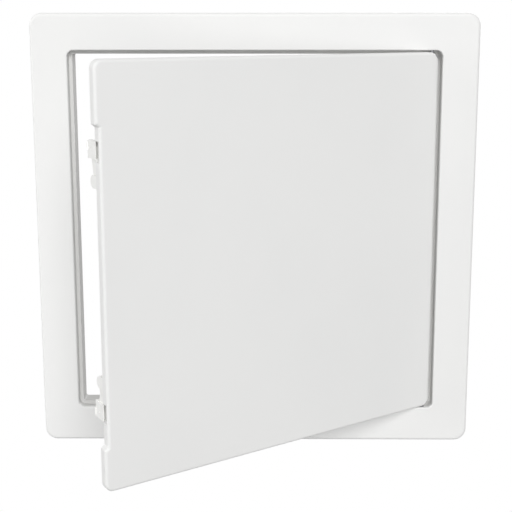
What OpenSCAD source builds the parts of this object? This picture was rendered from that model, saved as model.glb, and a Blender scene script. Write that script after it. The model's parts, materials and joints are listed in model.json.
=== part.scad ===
// Wall and ceiling access panel for a nominal 14 x 14 inch hole.
// A square frame with a wide flange, and a flat door that turns on two pins at its right-hand side.
// Millimetres, +Z up, +X to the right as seen from the room, +Y into the wall.
// The origin is the middle of the flange's back face, which lies on the wall, so the room is at -Y.
// Frame and door are drawn lying on their backs with the room side up, and stand() turns them upright.

/* [Frame] */
// Outside size of the square flange
frame_w = 419; // [395:1:450]
// Width of the flat flange, from its outer edge to the opening
flange_w = 34.3; // [30:0.1:40]
// Thickness of the flange at its rim
flange_t = 4; // [3.6:0.1:5]
// Corner radius of the flange's outline
frame_corner_r = 12; // [8:0.5:16]
// Rounding of the flange's outer front edge
frame_edge_r = 3; // [1:0.1:3.2]
// Rounding of the opening's front edge
lip_r = 1.2; // [0.6:0.1:1.6]
// Corner radius of the opening
opening_corner_r = 6; // [4:0.5:7]
// Corner radius of the clear way inside the stop ledge
clear_corner_r = 2; // [1:0.5:4]
// Depth from the flange's face to the stop ledge
recess_depth = 9; // [8.4:0.1:11]
// Width of the stop ledge
ledge_w = 3.4; // [2.8:0.1:4.5]
// Depth of the return wall behind the wall surface
box_depth = 19.5; // [19:0.5:26]
// Thickness of the moulded walls
wall_t = 2.2; // [1.8:0.1:2.6]
// Number of gussets behind the ledge on each side
gusset_count = 5; // [3:1:7]
// Distance from the clear way's corners to the first gusset
gusset_end = 16; // [12:1:24]

/* [Door] */
// Gap between the closed door and the opening, all round
door_gap = 1.7; // [1.4:0.1:2.1]
// Thickness of the door's plate
door_plate_t = 2.4; // [2:0.1:2.6]
// Thickness of the door's skirt
door_skirt_t = 2; // [1.6:0.1:2.2]
// Corner radius of the door's outline
door_corner_r = 7; // [5:0.5:9]
// Rounding of the door's front edge
door_edge_r = 2.6; // [1:0.1:3]
// Larger rounding of the front edge beside the hinge
hinge_round = 6.8; // [5:0.1:7]
// Set-back of the door's free edge between its two corner parts
edge_step = 3; // [2:0.1:3.2]
// Angle at which the door stands open
open_angle = 33; // [0:1:100]
// Number of stiffening ribs each way
rib_count = 4; // [2:1:6]
// Height of the stiffening ribs
rib_h = 4; // [2:0.2:5]
// Thickness of the stiffening ribs
rib_t = 1.4; // [1:0.1:2]
// Distance from the door's edge to the outermost rib
rib_margin = 16; // [14:0.5:22]

/* [Hinge] */
// Distance of the hinge line from the door's edge
hinge_inset = 8; // [7.6:0.1:9.5]
// Depth of the hinge line behind the door's face
hinge_depth = 4.4; // [4.2:0.1:4.6]
// Radius of the hinge pins
pin_r = 2; // [1.6:0.1:2.2]
// Length of each pin inside the door
pin_hold = 11; // [8:0.5:16]

/* [Latches] */
// Length of the door's upper corner part, along the free edge
upper_corner_len = 49; // [44:0.5:56]
// Length of the door's lower corner part, along the free edge
lower_corner_len = 36; // [32:0.5:44]
// Distance from the upper corner part to its latch
upper_latch_gap = 13.2; // [9:0.2:18]
// Distance from the lower corner part to its latch
lower_latch_gap = 20.4; // [16:0.2:24]
// Width of a latch tongue's head along the door's edge
tongue_w = 14.4; // [12:0.2:18]
// Distance from a latch's window to the pin that its tongue turns on
arm_len = 15.8; // [13:0.2:19]
// Thickness of a latch tongue's arm
arm_t = 2; // [1.6:0.1:2.2]
// Height of the barb on a latch tongue
barb_h = 1.1; // [0.8:0.1:1.3]
// Radius of the pin that a latch tongue turns on
latch_pin_r = 1.3; // [1.1:0.1:1.4]
// Reach of a latch block behind the door's face
block_reach = 20.6; // [19.6:0.1:22]
// Radius of a latch block's rounded end
block_r = 5.2; // [5:0.1:6]

/* [Hidden] */
$fn = 48;
white_plastic = [0.93, 0.93, 0.92];
latch_white = [0.93, 0.93, 0.90];
pin_metal = [0.72, 0.72, 0.74];
rest_gap = 0.3;
run_clear = 0.05;
press_clear = 0.02;
// How far cutters reach past what they cut, and how far joined pieces of one moulding sink into each other.
over = 1;
overlap = 0.5;

opening_w = frame_w - 2 * flange_w;
box_w = opening_w + 2 * wall_t;
clear_w = opening_w - 2 * ledge_w;
ledge_z = flange_t - recess_depth;
ledge_back_z = ledge_z - wall_t;

door_w = opening_w - 2 * door_gap;
door_depth = recess_depth - rest_gap;
door_back_z = flange_t - door_depth;
plate_back_z = flange_t - door_plate_t;
skirt_inside = door_w - 2 * door_skirt_t;

hinge_x = door_w / 2 - hinge_inset;
hinge_z = flange_t - hinge_depth;
// Farthest point of the door from the hinge line on the pin side, which the ledge has to clear.
swing_r = sqrt(pow(hinge_inset, 2) + pow(max(hinge_depth, door_depth - hinge_depth), 2));
relief_x = hinge_x - swing_r - over;
relief_z = hinge_z - swing_r - over;
boss_wall = 1.6;
boss_r = pin_r + boss_wall;
boss_extra = 3;
pin_foot_y = door_w / 2 - pin_hold - door_skirt_t;
pin_tip_in = 0.2;
pin_tip_y = box_w / 2 - pin_tip_in;
pin_tip_chamfer = 0.5;

// The door's corners beside the hinge are cut off slantwise, past the pins and past both roundings.
cut_land = 0.4;
corner_cut = max(
    hinge_inset + pin_r + overlap,
    max(hinge_round, door_corner_r) + door_edge_r + cut_land
);
// Where a slope behind the large rounding meets the planes of the door's face and edge.
hinge_fill_wall = 1.8;
hinge_fill = hinge_round * (2 - sqrt(2)) + hinge_fill_wall * sqrt(2);

// Gussets run from the back of the ledge down the outside of the return wall.
gusset_end_z = 3;
gusset_foot_z = gusset_end_z - box_depth;
gusset_heel = 2;

// Ribs end at a square ring of rib inside the skirt.
rib_ring_w = door_w - 2 * rib_margin;
rib_pitch = rib_ring_w / (rib_count + 1);

// The free edge is set back over a short steep slope at each end of its middle part.
free_x = edge_step - door_w / 2;
keep_w = 12;
step_len = 2.4;
step_angle = atan(edge_step / step_len);

// Latch groups, measured along the door's free edge from its nearer end.
upper_slot_s = upper_corner_len + upper_latch_gap;
lower_slot_s = lower_corner_len + lower_latch_gap;
slot_margin = 0.4;
slot_gap = 1.8;
slot_l = slot_margin + tongue_w + slot_gap;

// Across the edge, a tongue's place follows from the return wall that its barb has to pass.
barb_clear = 0.6;
head_proud = 1.3;
eye_wall = 1.1;
eye_bulge = 0.3;
eye_clear = 0.3;
cheek_t = 1;
head_out_x = barb_h + barb_clear - clear_w / 2;
arm_out_x = head_out_x + head_proud;
arm_in_x = arm_out_x + arm_t;
eye_r = latch_pin_r + eye_wall;
latch_pin_x = arm_out_x + eye_r - eye_bulge;
pocket_out_x = latch_pin_x - eye_r - eye_clear;
block_out_x = pocket_out_x - cheek_t;
pocket_in_x = latch_pin_x + eye_r + eye_clear;
block_in_x = pocket_in_x + 2 * cheek_t;

// In depth, the tongue lies behind the door's back and its head reaches past the return wall's rear edge.
latch_set = 1.3;
block_wall = 1.9;
pocket_front_z = door_back_z - latch_set;
pocket_back_z = flange_t - block_reach + block_wall;
eye_room = 0.8;
pocket_end = eye_r + eye_room;
pin_seat = 0.7;
eye_front_z = pocket_front_z - rest_gap;
eye_back_z = pocket_back_z + rest_gap;
arm_inset = 0.8;
arm_heel = 4.6;
nose_len = 1.3;
head_front_z = pocket_front_z;
catch_z = -box_depth - rest_gap;
head_back_z = catch_z - nose_len;
head_corner_r = 1.2;
barb_w = 6;
barb_s = 2.4;
barb_slope = 0.3;
barb_tip = 0.5;
dimple_r = 0.8;
dimple_d = 0.7;
dimple_s = 6.3;
dimple_up = 1.6;
dimple_pitch = 4.8;

// Glue pockets behind the flange.
flange_skin = 2.4;
glue_depth = flange_t - flange_skin;
glue_rim = 4;
glue_land = 3;
glue_rib_t = 1.6;
glue_rib_count = 5;
glue_rib_r = 9;
glue_end = 6;

// Turns a piece drawn on its back upright, with its room side to -Y.
module stand() {
    rotate([90, 0, 0]) children();
}

// Swings a piece of the closed door open about the hinge line.
module swing_open() {
    translate([hinge_x, 0, hinge_z])
        rotate([0, open_angle, 0])
            translate([-hinge_x, 0, -hinge_z])
                children();
}

module rounded(w, h, r) {
    square([w - 2 * r, h], center = true);
    square([w, h - 2 * r], center = true);
    for (x = [-1, 1], y = [-1, 1])
        translate([x * (w / 2 - r), y * (h / 2 - r)]) circle(r);
}

// Carries a profile round a square outline; the profile's x runs outward from the outline.
module around(w, corner) {
    side = w - 2 * corner;
    for (turn = [0:90:270]) rotate([0, 0, turn]) {
        translate([w / 2, side / 2, 0]) rotate([90, 0, 0]) linear_extrude(side) children();
        translate([side / 2, side / 2, 0])
            rotate_extrude(angle = 90)
                translate([corner, 0])
                    children();
    }
}

// A square plate with rounded corners and a rounded upper edge.
module edged_slab(w, t, corner, edge) {
    middle = w - 2 * corner;
    translate([-middle / 2, -middle / 2, 0]) cube([middle, middle, t]);
    around(w, corner) {
        translate([-corner, 0]) square([corner, t - edge]);
        translate([-corner, 0]) square([corner - edge, t]);
        intersection() {
            translate([-edge, t - edge]) circle(edge);
            translate([-edge, 0]) square([edge, t]);
        }
    }
}

module return_outline(grow) {
    rounded(clear_w + 2 * grow, clear_w + 2 * grow, clear_corner_r + grow);
}

// Strip of a rounded square beside the hinge, where the ledge stands deeper to let the door's edge swing in.
module hinge_strip(w, corner, from_x) {
    intersection() {
        rounded(w, w, corner);
        translate([from_x, -w / 2]) square([w, w]);
    }
}

module glue_pockets() {
    mid_w = (frame_w + box_w) / 2;
    translate([0, 0, -over]) linear_extrude(glue_depth + over) difference() {
        rounded(frame_w - 2 * glue_rim, frame_w - 2 * glue_rim, frame_corner_r - glue_rim);
        rounded(box_w + 2 * glue_land, box_w + 2 * glue_land, opening_corner_r + wall_t);
        difference() {
            rounded(mid_w + glue_rib_t, mid_w + glue_rib_t, glue_rib_r);
            rounded(mid_w - glue_rib_t, mid_w - glue_rib_t, glue_rib_r);
        }
        for (i = [0:glue_rib_count]) {
            place = (i / glue_rib_count - 0.5) * (opening_w - 2 * glue_end);
            translate([place, 0]) square([glue_rib_t, frame_w], center = true);
            translate([0, place]) square([frame_w, glue_rib_t], center = true);
        }
    }
}

// One gusset at the left side, under a ledge whose back lies at top_z.
module gusset(top_z) {
    out_x = -clear_w / 2 - wall_t;
    rotate([90, 0, 0]) translate([0, 0, -wall_t / 2]) linear_extrude(wall_t)
        polygon([
            [out_x + overlap, top_z + overlap],
            [-box_w / 2, top_z + overlap],
            [-box_w / 2, top_z - gusset_heel],
            [out_x, gusset_foot_z],
            [out_x + overlap, gusset_foot_z]
        ]);
}

module gussets() {
    reach = clear_w / 2 - gusset_end;
    // Along the upper and lower sides they stop short of the deeper ledge at the hinge.
    far = relief_x - 2 * wall_t;
    for (i = [0:gusset_count - 1]) {
        share = i / (gusset_count - 1);
        translate([0, (share - 0.5) * 2 * reach, 0]) {
            gusset(ledge_back_z);
            mirror([1, 0, 0]) gusset(relief_z - wall_t);
        }
        for (end = [0, 1]) mirror([0, end, 0])
            translate([share * (reach + far) - reach, 0, 0]) rotate([0, 0, 90]) gusset(ledge_back_z);
    }
}

module frame_shape() {
    difference() {
        union() {
            edged_slab(frame_w, flange_t, frame_corner_r, frame_edge_r);
            translate([0, 0, ledge_back_z])
                linear_extrude(1 - ledge_back_z) rounded(box_w, box_w, opening_corner_r + wall_t);
            translate([0, 0, relief_z - wall_t])
                linear_extrude(wall_t - relief_z)
                    hinge_strip(box_w, opening_corner_r + wall_t, relief_x - wall_t);
            translate([0, 0, -box_depth]) linear_extrude(box_depth) return_outline(wall_t);
            gussets();
        }
        translate([0, 0, ledge_z])
            linear_extrude(recess_depth + over) rounded(opening_w, opening_w, opening_corner_r);
        translate([0, 0, relief_z])
            linear_extrude(ledge_z - relief_z + over) hinge_strip(opening_w, opening_corner_r, relief_x);
        translate([0, 0, -box_depth - over]) linear_extrude(box_depth + over + 1) return_outline(0);
        translate([0, 0, flange_t - lip_r]) around(opening_w, opening_corner_r) difference() {
            translate([-over, 0]) square([lip_r + over, lip_r + over]);
            translate([lip_r, 0]) circle(lip_r);
        }
        glue_pockets();
        for (end = [0, 1]) mirror([0, end, 0])
            translate([hinge_x, box_w / 2 + over, hinge_z])
                rotate([90, 0, 0]) cylinder(h = wall_t + 2 * over, r = pin_r + run_clear);
    }
}

module frame() {
    color(white_plastic) stand() frame_shape();
}

module rib_grid() {
    translate([0, 0, plate_back_z - rib_h]) linear_extrude(rib_h + overlap) {
        difference() {
            square(rib_ring_w + rib_t, center = true);
            square(rib_ring_w - rib_t, center = true);
        }
        for (i = [1:rib_count]) {
            place = i * rib_pitch - rib_ring_w / 2;
            translate([place, 0]) square([rib_t, rib_ring_w], center = true);
            translate([0, place]) square([rib_ring_w, rib_t], center = true);
        }
    }
}

// Short ribs, half as high, that tie the ring of rib to the skirt at three sides.
module skirt_ties() {
    tie = (skirt_inside - rib_ring_w) / 2 + overlap;
    for (i = [1:rib_count]) {
        place = i * rib_pitch - rib_ring_w / 2 - rib_t / 2;
        for (end = [0, 1]) mirror([0, end, 0])
            translate([place, rib_ring_w / 2, plate_back_z - rib_h / 2])
                cube([rib_t, tie, rib_h / 2 + overlap]);
        translate([rib_ring_w / 2, place, plate_back_z - rib_h / 2])
            cube([tie, rib_t, rib_h / 2 + overlap]);
    }
}

module pin_boss() {
    translate([hinge_x, door_w / 2 - door_skirt_t + overlap, hinge_z]) rotate([90, 0, 0])
        cylinder(h = pin_hold + boss_extra, r = boss_r);
}

// Runs a profile in x and z along the door's edge from one distance from its upper end to another.
module along_edge(from_s, to_s) {
    translate([0, door_w / 2 - from_s, 0]) rotate([90, 0, 0]) linear_extrude(to_s - from_s) children();
}

// Triangle with its right angle at the door's upper corner beside the hinge.
module corner_triangle(leg) {
    translate([door_w / 2, door_w / 2]) polygon([[over, over], [-leg - over, over], [over, -leg - over]]);
}

// Hollow behind the door's plate, whose walls follow the outline.
module door_hollow() {
    translate([0, 0, door_back_z - over])
        linear_extrude(door_depth - door_plate_t + over) difference() {
            rounded(skirt_inside, skirt_inside, door_corner_r - door_skirt_t);
            for (end = [0, 1]) mirror([0, end, 0]) corner_triangle(corner_cut + sqrt(2) * door_skirt_t);
        }
}

// Sloped thickening that backs the large rounding beside the hinge.
module hinge_edge_back() {
    skirt_in = door_skirt_t - overlap;
    plate_in = door_plate_t - overlap;
    along_edge(skirt_in, door_w - skirt_in) translate([door_w / 2, flange_t]) polygon([
        [-skirt_in, skirt_in - hinge_fill],
        [-skirt_in, -plate_in],
        [plate_in - hinge_fill, -plate_in]
    ]);
}

// What is taken off for the large rounding.
module hinge_edge_cut() {
    along_edge(-over, door_w + over) translate([door_w / 2 - hinge_round, flange_t - hinge_round])
        difference() {
            square(hinge_round + over);
            circle(hinge_round);
        }
}

// Section of the door inside its rounded free edge, measured outward from the edge.
module inside_profile() {
    low_z = door_back_z - 2 * over;
    translate([-keep_w, low_z]) square([keep_w, flange_t - door_edge_r - low_z]);
    translate([-keep_w, low_z]) square([keep_w - door_edge_r, flange_t + 2 * over - low_z]);
    translate([-door_edge_r, flange_t - door_edge_r]) circle(door_edge_r);
}

// What stays inside the slope from a corner part in to the set-back edge, at the upper end.
module inside_slope(corner_len) {
    translate([free_x, door_w / 2 - corner_len - step_len, 0]) rotate([0, 0, step_angle])
        translate([0, step_len + keep_w, 0]) rotate([90, 0, 0]) linear_extrude(step_len + keep_w + step_len)
            mirror([1, 0]) inside_profile();
}

// What is taken off the free edge to set its middle part back.
module edge_set_back() {
    difference() {
        along_edge(upper_corner_len - 2 * over, door_w - lower_corner_len + 2 * over)
            translate([-door_w / 2 - over, door_back_z - over])
                square([edge_step + door_edge_r + 2 * over, door_depth + 2 * over]);
        along_edge(upper_corner_len - 3 * over, door_w - lower_corner_len + 3 * over)
            translate([free_x, 0]) mirror([1, 0]) inside_profile();
        inside_slope(upper_corner_len);
        mirror([0, 1, 0]) inside_slope(lower_corner_len);
    }
}

// Skirt behind the set-back edge.
module inner_skirt() {
    along_edge(upper_corner_len - door_skirt_t, door_w - lower_corner_len + door_skirt_t)
        translate([overlap - door_w / 2, door_back_z])
            square([edge_step + door_skirt_t - overlap, door_depth - door_plate_t + overlap]);
}

// Window through the skirt in front of a latch tongue's head.
module latch_window(slot_s) {
    along_edge(slot_s, slot_s + slot_l)
        translate([-door_w / 2 - over, door_back_z - over])
            square([edge_step + door_skirt_t + 2 * over, door_depth - door_plate_t + over]);
}

module door_shape() {
    difference() {
        union() {
            difference() {
                translate([0, 0, door_back_z])
                    edged_slab(door_w, door_depth, door_corner_r, door_edge_r);
                door_hollow();
            }
            inner_skirt();
            rib_grid();
            skirt_ties();
            hinge_edge_back();
            for (end = [0, 1]) mirror([0, end, 0]) pin_boss();
        }
        edge_set_back();
        hinge_edge_cut();
        latch_window(upper_slot_s);
        mirror([0, 1, 0]) latch_window(lower_slot_s);
        for (end = [0, 1]) mirror([0, end, 0]) {
            translate([0, 0, door_back_z - over])
                linear_extrude(door_depth + 2 * over) corner_triangle(corner_cut);
            translate([hinge_x, door_w / 2 + over, hinge_z]) rotate([90, 0, 0])
                cylinder(h = door_w / 2 - pin_foot_y + over, r = pin_r + press_clear);
        }
    }
}

module door() {
    color(white_plastic) stand() swing_open() door_shape();
}

module pin_shape() {
    body = pin_tip_y - pin_foot_y - pin_tip_chamfer;
    translate([hinge_x, pin_foot_y, hinge_z]) rotate([-90, 0, 0]) {
        cylinder(h = body, r = pin_r);
        translate([0, 0, body])
            cylinder(h = pin_tip_chamfer, r1 = pin_r, r2 = pin_r - pin_tip_chamfer);
    }
}

module hinge_pins() {
    color(pin_metal) stand() swing_open() for (end = [0, 1]) mirror([0, end, 0]) pin_shape();
}

// Runs an outline across the door's free edge; its x is measured toward the nearer end from from_s.
module across_edge(from_s, from_x, to_x) {
    translate([from_x, door_w / 2 - from_s, 0])
        rotate([90, 0, 90]) linear_extrude(to_x - from_x) children();
}

// Latch block: a half-round housing with a pin across its pocket, open toward the latch's head.
module block_shape(slot_s) {
    pin_s = slot_s + slot_l + arm_len;
    nose_z = flange_t - block_reach + block_r;
    difference() {
        across_edge(pin_s, block_out_x, block_in_x) {
            translate([-block_r, nose_z]) square([2 * block_r, plate_back_z - nose_z]);
            translate([0, nose_z]) circle(block_r);
        }
        // Room for the door's skirt, which the block reaches round.
        across_edge(pin_s, block_out_x - over, free_x + door_skirt_t + run_clear)
            translate([-block_r - over, door_back_z - rest_gap])
                square([2 * block_r + 2 * over, door_depth]);
        across_edge(pin_s, pocket_out_x, pocket_in_x)
            translate([-pocket_end, pocket_back_z])
                square([pocket_end + block_r + over, pocket_front_z - pocket_back_z]);
    }
    translate([latch_pin_x, door_w / 2 - pin_s, pocket_back_z - pin_seat])
        cylinder(h = pocket_front_z - pocket_back_z + 2 * pin_seat, r = latch_pin_r);
}

// Latch tongue: an eye on the pin, a springy arm, and a head with a barb at its deep end.
module tongue_shape(slot_s) {
    pin_s = slot_s + slot_l + arm_len;
    head_end_s = slot_s + slot_margin + tongue_w;
    arm_run = pin_s - head_end_s + overlap;
    difference() {
        union() {
            translate([latch_pin_x, door_w / 2 - pin_s, eye_back_z])
                cylinder(h = eye_front_z - eye_back_z, r = eye_r);
            across_edge(pin_s, arm_out_x, arm_in_x) polygon([
                [0, eye_front_z - arm_inset],
                [0, eye_back_z + arm_inset],
                [arm_run, head_back_z + arm_heel],
                [arm_run, head_front_z - arm_inset]
            ]);
            across_edge(head_end_s, head_out_x, arm_in_x) {
                translate([0, head_back_z]) square([tongue_w - head_corner_r, head_front_z - head_back_z]);
                translate([0, head_back_z + head_corner_r])
                    square([tongue_w, head_front_z - head_back_z - 2 * head_corner_r]);
                for (z = [head_back_z + head_corner_r, head_front_z - head_corner_r])
                    translate([tongue_w - head_corner_r, z]) circle(head_corner_r);
            }
            // Barb that clicks behind the rear edge of the return wall.
            along_edge(slot_s + barb_s, slot_s + barb_s + barb_w) polygon([
                [head_out_x + overlap, catch_z],
                [head_out_x, catch_z],
                [head_out_x - barb_h, catch_z - barb_slope],
                [head_out_x - barb_h, catch_z - barb_slope - barb_tip],
                [head_out_x, head_back_z],
                [head_out_x + overlap, head_back_z]
            ]);
        }
        translate([latch_pin_x, door_w / 2 - pin_s, eye_back_z - over])
            cylinder(h = eye_front_z - eye_back_z + 2 * over, r = latch_pin_r + run_clear);
        for (up = [dimple_up, dimple_up + dimple_pitch])
            translate([head_out_x - over, door_w / 2 - slot_s - dimple_s, catch_z + up])
                rotate([0, 90, 0]) cylinder(h = over + dimple_d, r = dimple_r);
    }
}

module upper_latch_block() {
    color(latch_white) stand() swing_open() block_shape(upper_slot_s);
}

module upper_latch_tongue() {
    color(latch_white) stand() swing_open() tongue_shape(upper_slot_s);
}

module lower_latch_block() {
    color(latch_white) stand() swing_open() mirror([0, 1, 0]) block_shape(lower_slot_s);
}

module lower_latch_tongue() {
    color(latch_white) stand() swing_open() mirror([0, 1, 0]) tongue_shape(lower_slot_s);
}

frame();
door();
hinge_pins();
upper_latch_block();
upper_latch_tongue();
lower_latch_block();
lower_latch_tongue();
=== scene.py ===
import json
import math

import bmesh
import bpy
import numpy as np
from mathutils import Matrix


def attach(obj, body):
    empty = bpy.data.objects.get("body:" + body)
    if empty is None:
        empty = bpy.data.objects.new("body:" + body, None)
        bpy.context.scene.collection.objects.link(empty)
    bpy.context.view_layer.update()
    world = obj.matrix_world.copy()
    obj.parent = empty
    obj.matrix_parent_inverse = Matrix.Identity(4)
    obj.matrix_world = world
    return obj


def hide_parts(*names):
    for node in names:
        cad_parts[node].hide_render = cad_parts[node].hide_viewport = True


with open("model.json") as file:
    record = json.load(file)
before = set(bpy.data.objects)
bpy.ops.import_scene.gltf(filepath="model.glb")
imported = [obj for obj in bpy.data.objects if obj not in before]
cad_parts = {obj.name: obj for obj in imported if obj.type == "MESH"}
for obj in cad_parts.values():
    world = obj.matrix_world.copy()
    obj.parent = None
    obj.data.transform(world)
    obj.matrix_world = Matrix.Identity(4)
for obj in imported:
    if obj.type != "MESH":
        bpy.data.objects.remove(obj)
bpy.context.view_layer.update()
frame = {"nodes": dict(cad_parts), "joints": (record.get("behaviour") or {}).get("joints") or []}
print("frame loaded with", len(frame["nodes"]), "nodes")

joints = {j["name"]: j for j in frame["joints"]}
hinge = joints["door_swing"]["pos_m"]
openTurn = -math.radians(joints["door_swing"]["range_deg"][0])  # how far the door stands open at rest
noiseMiddle = 0.5  # what a noise texture gives on average


class Sock:
    # wraps a shader socket, so that a sum written in Python becomes its Math nodes
    def __init__(self, mat, socket):
        self.mat = mat
        self.socket = socket

    def maths(self, operation, first, second=None, clamp=False):
        values = {0: first} if second is None else {0: first, 1: second}
        return self.mat.add("ShaderNodeMath", {"operation": operation, "use_clamp": clamp}, values)

    def __add__(self, other):
        return self.maths("ADD", self, other)

    def __radd__(self, other):
        return self.maths("ADD", other, self)

    def __sub__(self, other):
        return self.maths("SUBTRACT", self, other)

    def __rsub__(self, other):
        return self.maths("SUBTRACT", other, self)

    def __mul__(self, other):
        return self.maths("MULTIPLY", self, other)

    def __rmul__(self, other):
        return self.maths("MULTIPLY", other, self)

    def __truediv__(self, other):
        return self.maths("DIVIDE", self, other)

    def __rtruediv__(self, other):
        return self.maths("DIVIDE", other, self)

    def __abs__(self):
        return self.maths("ABSOLUTE", self)

    def fract(self):
        return self.maths("FRACT", self)

    def most(self, other):
        return self.maths("MAXIMUM", self, other)

    def clipped(self):
        return self.maths("ADD", self, 0.0, clamp=True)


class Mat:
    # the node tree of a material, or of the world
    def __init__(self, data):
        self.data = data
        self.data.use_nodes = True
        self.tree = self.data.node_tree
        self.shader = self.tree.nodes.get("Principled BSDF")

    def feed(self, socket, value):
        if isinstance(value, Sock):
            self.tree.links.new(value.socket, socket)
        else:
            socket.default_value = value

    def add(self, kind, settings=None, values=None, out=0):
        node = self.tree.nodes.new(kind)
        for name, value in (settings or {}).items():
            setattr(node, name, value)
        for name, value in (values or {}).items():
            self.feed(node.inputs[name], value)
        return Sock(self, node.outputs[out])

    def place(self, move=(0, 0, 0), turn=(0, 0, 0), size=(1, 1, 1)):
        # Object coordinates, first shifted to a new middle, then turned and stretched
        here = self.add("ShaderNodeTexCoord", out="Object")
        here = self.add("ShaderNodeVectorMath", {"operation": "SUBTRACT"}, {0: here, 1: move})
        return self.add("ShaderNodeMapping", {}, {"Vector": here, "Rotation": turn, "Scale": size})

    def parts(self, vector):
        node = self.tree.nodes.new("ShaderNodeSeparateXYZ")
        self.feed(node.inputs[0], vector)
        return [Sock(self, s) for s in node.outputs]

    def noise(self, where, scale, detail, rough):
        values = {"Vector": where, "Scale": scale, "Detail": detail, "Roughness": rough}
        return self.add("ShaderNodeTexNoise", {}, values)

    def colours(self, mask, first, second):
        return self.add("ShaderNodeMix", {"data_type": "RGBA"}, {0: mask, 6: first, 7: second}, out=2)

    def bump(self, height, distance, strength, under=None):
        values = {"Height": height, "Distance": distance, "Strength": strength}
        if under is not None:
            values["Normal"] = under
        return self.add("ShaderNodeBump", {}, values)

    def finish(self, **values):
        for name, value in values.items():
            self.feed(self.shader.inputs[name.replace("_", " ")], value)
        return self.data


panelPlastic = {
    "colour": (0.832, 0.832, 0.824, 1),
    "cloud": (0.818, 0.819, 0.812, 1),  # slow change of tone across the moulding
    "cloudScale": 7.0,
    "cloudDetail": 3.0,
    "cloudRough": 0.5,
    "cloudFrom": 0.42,  # noise at which the second tone begins, and how fast it comes in
    "cloudRise": 4,
    "cloudGloss": 0.12,  # how far the slow change and the grain move the roughness
    "grainGloss": 0.05,
    "grainSize": 0.0007,
    "grainDetail": 3.0,
    "grainRough": 0.6,
    "grainDepth": 0.000022,
    "grainStrength": 0.5,
    "gloss": 0.50,
    "shine": 0.32,
    "sinkDepth": 0.00003,  # faint hollows in lines, as ribs behind a face leave them
    "sinkStrength": 0.6,
    "sinkReach": 0.0045,  # from a line's middle to where its hollow ends
    "ribPitch": 0.063,
    "ribCount": 4,
    "paintedShade": (0.670, 0.668, 0.656, 1),  # painted shade: the frame's recess coloured darker to stand in for the shade there
    "paintedShadeStart": -0.002,  # depth at which the painted shade begins; the flange's back is at 0
    "paintedShadeRun": 0.004,  # depth over which the painted shade comes in fully
    "paintedShadeEdge": 0.001,
    "recessHalf": 0.1765,  # from the panel's middle to where the painted shade ends inside the walls
}


def ribHollows(x, z):
    # 1 in the middle of a line and 0 away from it: the square of 1 - distance / reach, for lines both ways
    p = panelPlastic
    # an even count has its lines half a pitch from 0, an odd count through 0; the 50 keeps the sum above 0
    shift = 50 if p["ribCount"] % 2 == 0 else 50.5
    marks = []
    for across in (x, z):
        away = abs((across / p["ribPitch"] + shift).fract() - 0.5) * p["ribPitch"]
        mark = (1 - away / p["sinkReach"]).clipped()
        marks.append(mark * mark)
    return marks[0].most(marks[1])


def makePanelPlastic(name, turn, middle, isDoor):
    # white styrene: fine spark grain, slow tone change, sink lines on the door and painted shade in the
    # frame's recess
    p = panelPlastic
    mat = Mat(bpy.data.materials.new(name))
    where = mat.place(middle, (0, 0, turn))
    x, y, z = mat.parts(where)
    grain = mat.noise(where, 1 / p["grainSize"], p["grainDetail"], p["grainRough"])
    cloud = mat.noise(where, p["cloudScale"], p["cloudDetail"], p["cloudRough"])
    tone = ((cloud - p["cloudFrom"]) * p["cloudRise"]).clipped()
    colour = mat.colours(tone, p["colour"], p["cloud"])
    skin = mat.bump(grain, p["grainDepth"], p["grainStrength"])
    if isDoor:
        skin = mat.bump(1 - ribHollows(x, z), p["sinkDepth"], p["sinkStrength"], under=skin)
    else:
        # painted shade: darker colour inside the recess's walls, and deeper than its lip
        inside = ((p["recessHalf"] - abs(x).most(abs(z))) / p["paintedShadeEdge"]).clipped()
        deep = ((y - p["paintedShadeStart"]) / p["paintedShadeRun"]).clipped()
        colour = mat.colours(inside * deep, colour, p["paintedShade"])
    return mat.finish(
        Base_Color=colour,
        Roughness=(cloud - noiseMiddle) * p["cloudGloss"] + grain * p["grainGloss"] + p["gloss"],
        Normal=skin,
        Specular_IOR_Level=p["shine"],
    )


latchPlastic = {
    "colour": (0.880, 0.880, 0.862, 1),
    "flow": (0.850, 0.850, 0.830, 1),  # streaks left by the melt
    "streakStretch": 0.25,
    "streakScale": 160.0,
    "streakDetail": 4.0,
    "streakRough": 0.6,
    "streakFrom": 0.4,
    "streakRise": 3,
    "streakGloss": 0.2,
    "skinScale": 1500.0,
    "skinDetail": 2.0,
    "skinRough": 0.5,
    "skinDepth": 0.00001,
    "skinStrength": 0.5,
    "gloss": 0.42,
    "shine": 0.36,
}


def makeLatchPlastic(name, turn, middle):
    # natural white plastic: streaks along the tongue and a smooth skin
    p = latchPlastic
    mat = Mat(bpy.data.materials.new(name))
    where = mat.place(middle, (0, 0, turn), (1, p["streakStretch"], 1))
    streak = mat.noise(where, p["streakScale"], p["streakDetail"], p["streakRough"])
    fine = mat.noise(where, p["skinScale"], p["skinDetail"], p["skinRough"])
    tone = ((streak - p["streakFrom"]) * p["streakRise"]).clipped()
    return mat.finish(
        Base_Color=mat.colours(tone, p["colour"], p["flow"]),
        Roughness=(streak - noiseMiddle) * p["streakGloss"] + p["gloss"],
        Normal=mat.bump(fine, p["skinDepth"], p["skinStrength"]),
        Specular_IOR_Level=p["shine"],
    )


pinSteel = {
    "colour": (0.30, 0.30, 0.31, 1),
    "drawn": (0.20, 0.20, 0.21, 1),
    "scratchStretch": 0.04,
    "scratchScale": 2600.0,
    "scratchDetail": 3.0,
    "scratchRough": 0.7,
    "scratchFrom": 0.35,
    "scratchRise": 2.5,
    "scratchGloss": 0.25,
    "scratchDepth": 0.00001,
    "scratchStrength": 0.4,
    "gloss": 0.40,
}


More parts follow.
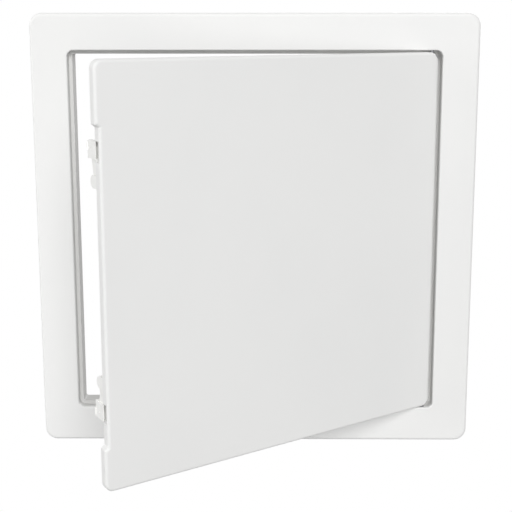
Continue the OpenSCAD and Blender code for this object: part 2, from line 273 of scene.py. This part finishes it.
def makePinSteel(name):
    # drawn wire: fine scratches along the pin
    p = pinSteel
    mat = Mat(bpy.data.materials.new(name))
    where = mat.place(size=(1, 1, p["scratchStretch"]))
    scratch = mat.noise(where, p["scratchScale"], p["scratchDetail"], p["scratchRough"])
    tone = ((scratch - p["scratchFrom"]) * p["scratchRise"]).clipped()
    return mat.finish(
        Base_Color=mat.colours(tone, p["drawn"], p["colour"]),
        Roughness=scratch * p["scratchGloss"] + p["gloss"],
        Normal=mat.bump(scratch, p["scratchDepth"], p["scratchStrength"]),
        Metallic=1.0,
    )


def dress(nodeName, material):
    piece = frame["nodes"][nodeName]
    for s in piece.material_slots:
        s.material = material
    if not piece.material_slots:
        piece.data.materials.append(material)


dress("frame", makePanelPlastic("framePlastic", 0.0, (0, 0, 0), False))
dress("door", makePanelPlastic("doorPlastic", -openTurn, tuple(hinge), True))
latchLook = makeLatchPlastic("latchPlastic", -openTurn, tuple(hinge))
for nodeName in ("upper_latch_block", "upper_latch_tongue", "lower_latch_block", "lower_latch_tongue"):
    dress(nodeName, latchLook)
dress("hinge_pins", makePinSteel("pinSteel"))
print("materials on all nodes")


# the head of a latch tongue, measured with the door closed
latchHead = {
    "outerWall": 0.0007,  # walls left round the hollow
    "innerWall": 0.0006,
    "endWall": 0.0006,
    "thickness": 0.0033,  # from the outer face to the inner one
    "hollowDepth": 0.0040,
    "cutterStart": 0.002,  # how far in front of the head the cutter begins
    "barbBand": 0.0014,  # from the barb's tip inwards, past the head's outer face
    "faceGap": 1e-5,  # a point this near the outer face's plane lies on it
    "weldGap": 1e-6,  # points this near each other are one
    "flatAngle": 0.5,  # degrees below which two triangles are one face
    "soften": 0.00022,  # rounding of the moulded edges
    "softSteps": 2,
    "sharpAngle": 40,  # degrees above which an edge is rounded
}


def doorTurn(points, angle):
    # turns points about the hinge line, which stands upright: with a point's distances from that line,
    # new x = cosine * x - sine * y, new y = sine * x + cosine * y, and its height stays
    c, s = math.cos(angle), math.sin(angle)
    flat = points[:, :2] - np.array(hinge[:2])
    turned = points.copy()
    turned[:, 0] = hinge[0] + c * flat[:, 0] - s * flat[:, 1]
    turned[:, 1] = hinge[1] + s * flat[:, 0] + c * flat[:, 1]
    return turned


def boxMesh(name, low, high):
    # a box turned with the open door: corner number = 4 * x digit + 2 * y digit + z digit,
    # and a coordinate is its low value where the digit is 0 and its high value where it is 1
    digits = np.indices((2, 2, 2)).reshape(3, 8).T
    corners = np.where(digits == 0, low, high)
    faces = [(0, 1, 3, 2), (4, 6, 7, 5), (0, 4, 5, 1), (2, 3, 7, 6), (0, 2, 6, 4), (1, 5, 7, 3)]
    mesh = bpy.data.meshes.new(name)
    mesh.from_pydata(doorTurn(corners, openTurn).tolist(), [], faces)
    return mesh


def headCutter(mesh):
    # the block that hollows the head from the front, and leaves walls on its outer side, inner side and ends
    p = latchHead
    points = np.empty(len(mesh.vertices) * 3)
    mesh.vertices.foreach_get("co", points)
    closed = doorTurn(points.reshape(-1, 3), -openTurn)
    barbAndFace = closed[closed[:, 0] < closed[:, 0].min() + p["barbBand"]]
    face = closed[np.abs(closed[:, 0] - barbAndFace[:, 0].max()) < p["faceGap"]]
    outer, front, bottom, top = face[:, 0].mean(), face[:, 1].min(), face[:, 2].min(), face[:, 2].max()
    low = (outer + p["outerWall"], front - p["cutterStart"], bottom + p["endWall"])
    high = (outer + p["thickness"] - p["innerWall"], front + p["hollowDepth"], top - p["endWall"])
    cutter = bpy.data.objects.new("headCutter", boxMesh("headCutter", low, high))
    bpy.context.collection.objects.link(cutter)
    return cutter


def makeLatchTongue(nodeName, pieceName, body, material):
    # the tongue as moulded: its head is cored out from the front, and its edges are softened
    p = latchHead
    shell = bmesh.new()
    shell.from_mesh(frame["nodes"][nodeName].data)
    bmesh.ops.remove_doubles(shell, verts=shell.verts, dist=p["weldGap"])
    flat = math.radians(p["flatAngle"])
    bmesh.ops.dissolve_limit(shell, angle_limit=flat, verts=shell.verts, edges=shell.edges)
    mesh = bpy.data.meshes.new(pieceName)
    shell.to_mesh(mesh)
    shell.free()
    piece = bpy.data.objects.new(pieceName, mesh)
    bpy.context.collection.objects.link(piece)

    cutter = headCutter(mesh)
    cut = piece.modifiers.new("coreOut", "BOOLEAN")
    cut.operation = "DIFFERENCE"
    cut.solver = "EXACT"
    cut.object = cutter
    soft = piece.modifiers.new("softEdges", "BEVEL")
    soft.width = p["soften"]
    soft.segments = p["softSteps"]
    soft.limit_method = "ANGLE"
    soft.angle_limit = math.radians(p["sharpAngle"])
    soft.use_clamp_overlap = True
    made = bpy.data.meshes.new_from_object(piece.evaluated_get(bpy.context.evaluated_depsgraph_get()))
    piece.modifiers.clear()
    piece.data = made
    bpy.data.objects.remove(cutter)
    made.materials.clear()
    made.materials.append(material)
    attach(piece, body)
    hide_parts(nodeName)
    print(pieceName, "has", len(made.polygons), "faces")


makeLatchTongue("upper_latch_tongue", "upperTongueMoulded", "upper_tongue", latchLook)
makeLatchTongue("lower_latch_tongue", "lowerTongueMoulded", "lower_tongue", latchLook)


studio = {
    "floorDrop": 0.45,  # floor below the panel's middle
    "floorSize": 6.0,
    "floorColour": (0.40, 0.40, 0.40, 1),
    "skyLevel": 0.28,
    "white": (1, 1, 1, 1),
}


def cameraWhite(mat, light, whiteKind):
    # plain white to the camera, in reflections and through glass, and its own look to everything else
    path = mat.tree.nodes.new("ShaderNodeLightPath")
    seen = Sock(mat, path.outputs["Is Camera Ray"]).most(Sock(mat, path.outputs["Is Glossy Ray"]))
    seen = seen.most(Sock(mat, path.outputs["Is Transmission Ray"]))
    white = mat.add(whiteKind, {}, {"Color": studio["white"], "Strength": 1.0})
    return mat.add("ShaderNodeMixShader", {}, {0: seen, 1: light, 2: white})


def makeFloor():
    p = studio
    mesh = bpy.data.meshes.new("floor")
    e, down = p["floorSize"] / 2, -p["floorDrop"]
    mesh.from_pydata([(-e, -e, down), (e, -e, down), (e, e, down), (-e, e, down)], [], [(0, 1, 2, 3)])
    floor = bpy.data.objects.new("floor", mesh)
    bpy.context.collection.objects.link(floor)
    mat = Mat(bpy.data.materials.new("floorPaper"))
    paper = mat.add("ShaderNodeBsdfDiffuse", {}, {"Color": p["floorColour"]})
    out = mat.tree.nodes["Material Output"]
    mat.feed(out.inputs["Surface"], cameraWhite(mat, paper, "ShaderNodeEmission"))
    mat.tree.nodes.remove(mat.shader)
    mesh.materials.append(mat.data)


def makeSky():
    p = studio
    mat = Mat(bpy.data.worlds.new("softSky"))
    mat.tree.nodes.clear()
    soft = mat.add("ShaderNodeBackground", {}, {"Color": p["white"], "Strength": p["skyLevel"]})
    out = mat.tree.nodes.new("ShaderNodeOutputWorld")
    mat.feed(out.inputs["Surface"], cameraWhite(mat, soft, "ShaderNodeBackground"))
    bpy.context.scene.world = mat.data


lamps = {
    "frontKey": {"at": (1.2, -8.0, 4.8), "size": 4.8, "watts": 585},
    "lowFill": {"at": (0.2, -3.2, -0.2), "size": 1.6, "watts": 22},
    "leftSide": {"at": (-3.2, -0.5, 0.6), "size": 2.0, "watts": 37},
    "backFill": {"at": (1.2, 3.0, 1.6), "size": 2.0, "watts": 38},
}
lampTarget = (0, -0.05, 0)  # what all lamps point at


def makeLamps():
    # a lamp shines along its own -Z: tilt = angle of its aim from straight down, turn = bearing of its aim
    for name, p in lamps.items():
        light = bpy.data.lights.new(name, "AREA")
        light.shape = "SQUARE"
        light.size = p["size"]
        light.energy = p["watts"]
        lamp = bpy.data.objects.new(name, light)
        bpy.context.collection.objects.link(lamp)
        lamp.location = p["at"]
        x, y, z = np.array(lampTarget) - np.array(p["at"])
        lamp.rotation_euler = (math.atan2(math.hypot(x, y), -z), 0, math.atan2(-x, y))


view = {
    "at": (0.0173, -0.9118, 0.1990),
    "pitch": -9.987,  # degrees, up is positive
    "yaw": 0.407,
    "lens": 67.97,
    "sensor": 36,
    "shift": (-0.02, -0.12),
}


def makeCamera():
    lens = bpy.data.cameras.new("photoCamera")
    lens.sensor_width = view["sensor"]
    lens.lens = view["lens"]
    lens.shift_x, lens.shift_y = view["shift"]
    camera = bpy.data.objects.new("photoCamera", lens)
    bpy.context.collection.objects.link(camera)
    camera.location = view["at"]
    camera.rotation_euler = (math.radians(90 + view["pitch"]), 0, math.radians(view["yaw"]))
    bpy.context.scene.camera = camera


makeFloor()
makeSky()
makeLamps()
makeCamera()
bpy.context.scene.view_settings.view_transform = "Standard"
print("studio, lamps and camera set")
